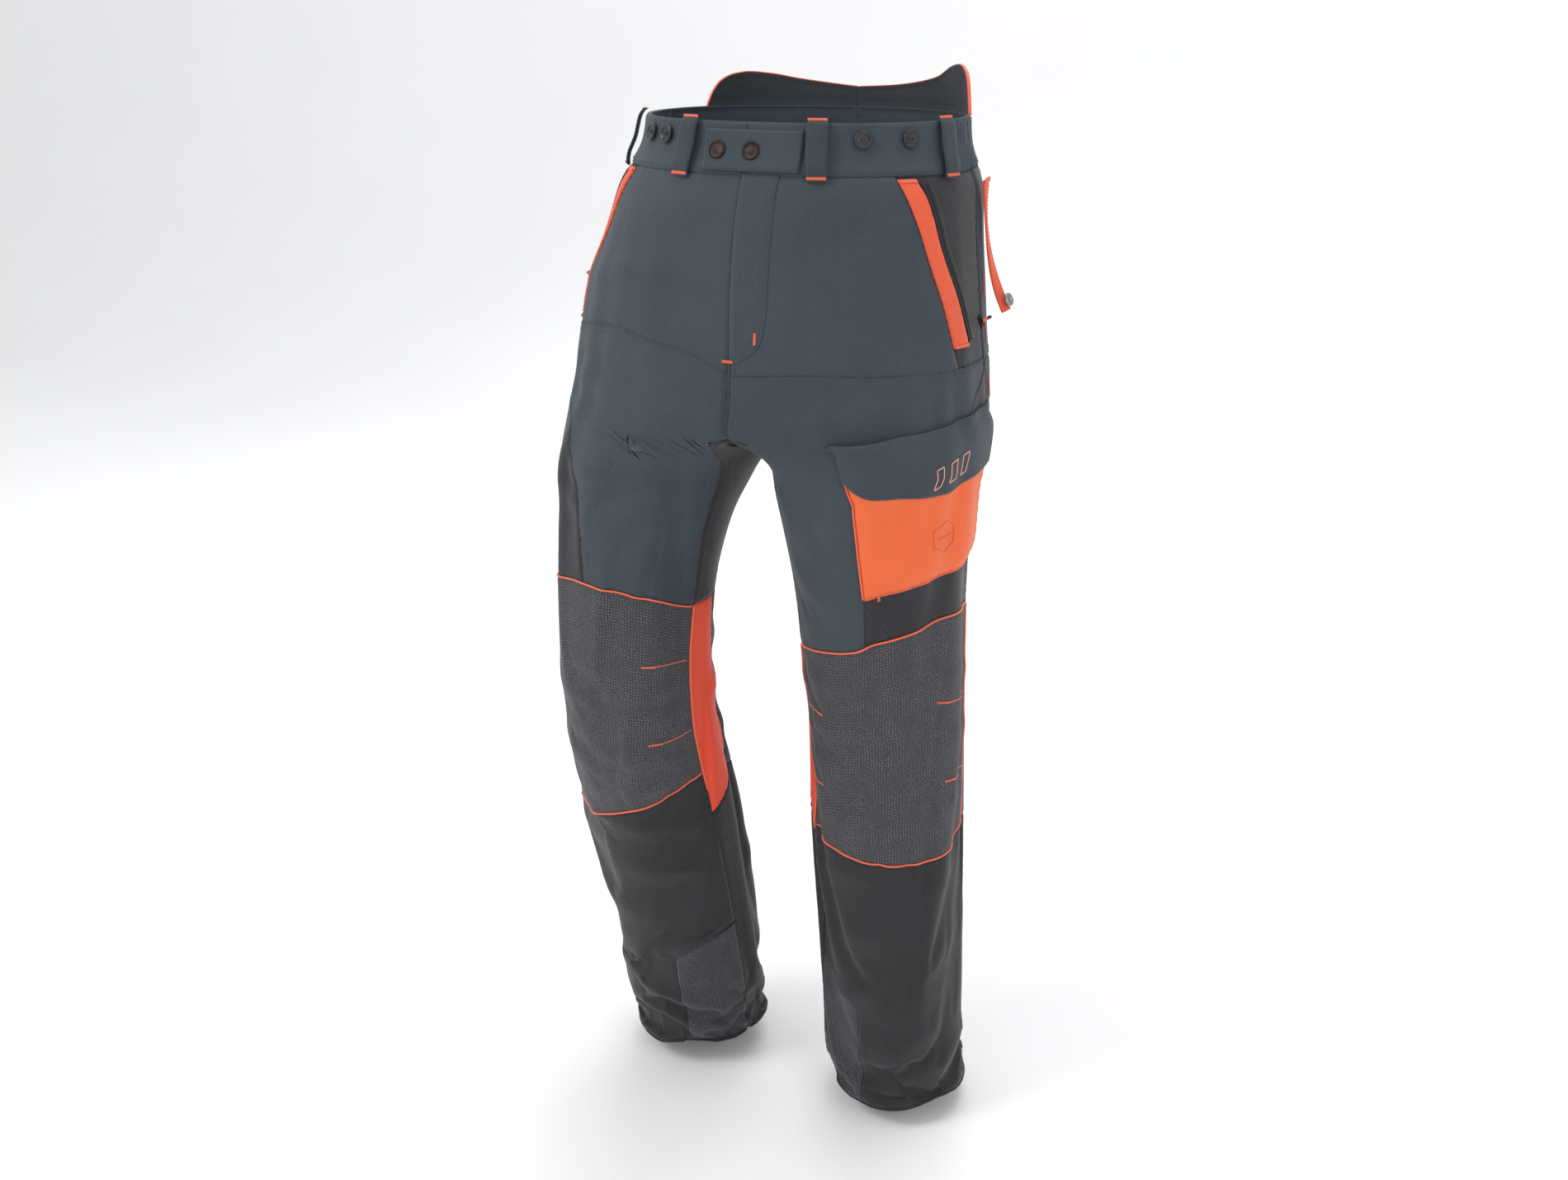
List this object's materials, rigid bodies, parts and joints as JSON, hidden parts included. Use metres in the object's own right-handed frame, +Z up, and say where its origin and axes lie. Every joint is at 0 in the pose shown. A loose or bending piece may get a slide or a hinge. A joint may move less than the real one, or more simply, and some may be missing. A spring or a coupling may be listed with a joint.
{
  "type": "chainsaw protective trousers",
  "caption": "Waist-high saw-protective work trousers with articulated knees, thigh pocket, raised back flap and zipped hand pockets.",
  "frame": {"origin": "middle of the waist opening, level with the middle of the waistband", "axes": "+Z up, -Y the front, +X the wearer's left"},
  "size_m": [0.4381, 0.3517, 1.092],
  "materials": {
    "slate_twill": "satin",
    "black_stretch": "matte",
    "charcoal_ripstop": "matte",
    "orange_cloth": "matte",
    "orange_tape": "satin",
    "lining": "matte",
    "cut_fibre": "matte",
    "gunmetal": "satin",
    "black_plastic": "satin",
    "steel": "satin"
  },
  "bodies": {
    "trousers": {"back_thigh_left": "black_stretch", "back_thigh_right": "black_stretch", "belt_loop_back": "slate_twill", "belt_loop_front_left": "slate_twill", "belt_loop_front_right": "slate_twill", "belt_loop_side_left": "slate_twill", "belt_loop_side_right": "slate_twill", "brace_button_1": "black_plastic", "brace_button_2": "black_plastic", "brace_button_3": "black_plastic", "brace_button_4": "black_plastic", "cargo_pocket": "orange_cloth", "cut_pad_thigh_left": "cut_fibre", "cut_pad_thigh_right": "cut_fibre", "fly_placket": "slate_twill", "front_panel_left": "slate_twill", "front_panel_right": "slate_twill", "inner_thigh_left": "black_stretch", "inner_thigh_right": "black_stretch", "kidney_flap": "slate_twill", "outer_stripe_left": "black_stretch", "outer_stripe_right": "black_stretch", "pocket_trim_left": "orange_tape", "pocket_trim_right": "orange_tape", "seat_panel_left": "slate_twill", "seat_panel_right": "slate_twill", "side_panel_left": "black_stretch", "side_panel_right": "black_stretch", "snap_stud_1": "steel", "snap_stud_2": "steel", "thigh_panel_left": "slate_twill", "thigh_panel_right": "slate_twill", "waistband_back": "slate_twill", "waistband_front_left": "slate_twill", "waistband_front_right": "slate_twill"},
    "shin_left": {"knee_patch_left": "charcoal_ripstop", "knee_inner_left": "orange_cloth", "knee_back_left": "slate_twill", "shin_panel_left": "black_stretch", "calf_panel_left": "black_stretch", "ankle_patch_left": "charcoal_ripstop", "cut_pad_shin_left": "cut_fibre"},
    "shin_right": {"knee_patch_right": "charcoal_ripstop", "knee_inner_right": "orange_cloth", "knee_back_right": "slate_twill", "shin_panel_right": "black_stretch", "calf_panel_right": "black_stretch", "ankle_patch_right": "charcoal_ripstop", "cut_pad_shin_right": "cut_fibre"},
    "flap": {"cargo_flap": "slate_twill"},
    "tab": {"waist_tab": "slate_twill", "snap_cap_1": "gunmetal", "snap_cap_2": "gunmetal"},
    "slider_left": {"pocket_slider_left": "gunmetal"},
    "slider_right": {"pocket_slider_right": "gunmetal"},
    "pull_left": {"pocket_pull_left": "orange_tape"},
    "pull_right": {"pocket_pull_right": "orange_tape"},
    "strap": {"tool_strap": "orange_tape", "strap_snap": "steel"}
  },
  "joints": [
    {"name": "knee_left", "type": "hinge", "parent": "trousers", "child": "shin_left", "pos_m": [0.112, -0.008, -0.578], "axis": [0.9798, 0.2, 0], "range_deg": [-5, 70], "deforming": ["knee_patch_left", "knee_inner_left", "knee_back_left"]},
    {"name": "knee_right", "type": "hinge", "parent": "trousers", "child": "shin_right", "pos_m": [-0.136, -0.1, -0.553], "axis": [1, 0, 0], "range_deg": [-10, 65], "deforming": ["knee_patch_right", "knee_inner_right", "knee_back_right"]},
    {"name": "cargo_flap_hinge", "type": "hinge", "parent": "trousers", "child": "flap", "pos_m": [0.184, -0.1255, -0.242], "axis": [-0.5076, -0.8555, -0.1027], "range_deg": [0, 110]},
    {"name": "waist_tab_hinge", "type": "hinge", "parent": "trousers", "child": "tab", "pos_m": [0.0532, -0.1284, -0.005], "axis": [0, 0.321, 0.9471], "range_deg": [0, 90]},
    {"name": "left_pocket_zip", "type": "slide", "parent": "trousers", "child": "slider_left", "axis": [-0.1893, -0.3962, 0.8984], "range_m": [0, 0.115]},
    {"name": "right_pocket_zip", "type": "slide", "parent": "trousers", "child": "slider_right", "axis": [0.3946, -0.262, 0.8807], "range_m": [0, 0.098]},
    {"name": "left_pull_swing", "type": "hinge", "parent": "slider_left", "child": "pull_left", "pos_m": [0.19546, -0.03122, -0.1597], "axis": [0.995, -0.0053, 0.1001], "range_deg": [-60, 60]},
    {"name": "right_pull_swing", "type": "hinge", "parent": "slider_right", "child": "pull_right", "pos_m": [-0.21746, -0.0543, -0.13942], "axis": [-0.967, -0.1663, 0.1932], "range_deg": [-60, 60]},
    {"name": "tool_strap_swing", "type": "hinge", "parent": "trousers", "child": "strap", "pos_m": [0.18, 0.004, -0.034], "axis": [0, -1, 0], "range_deg": [0, 60]}
  ]
}
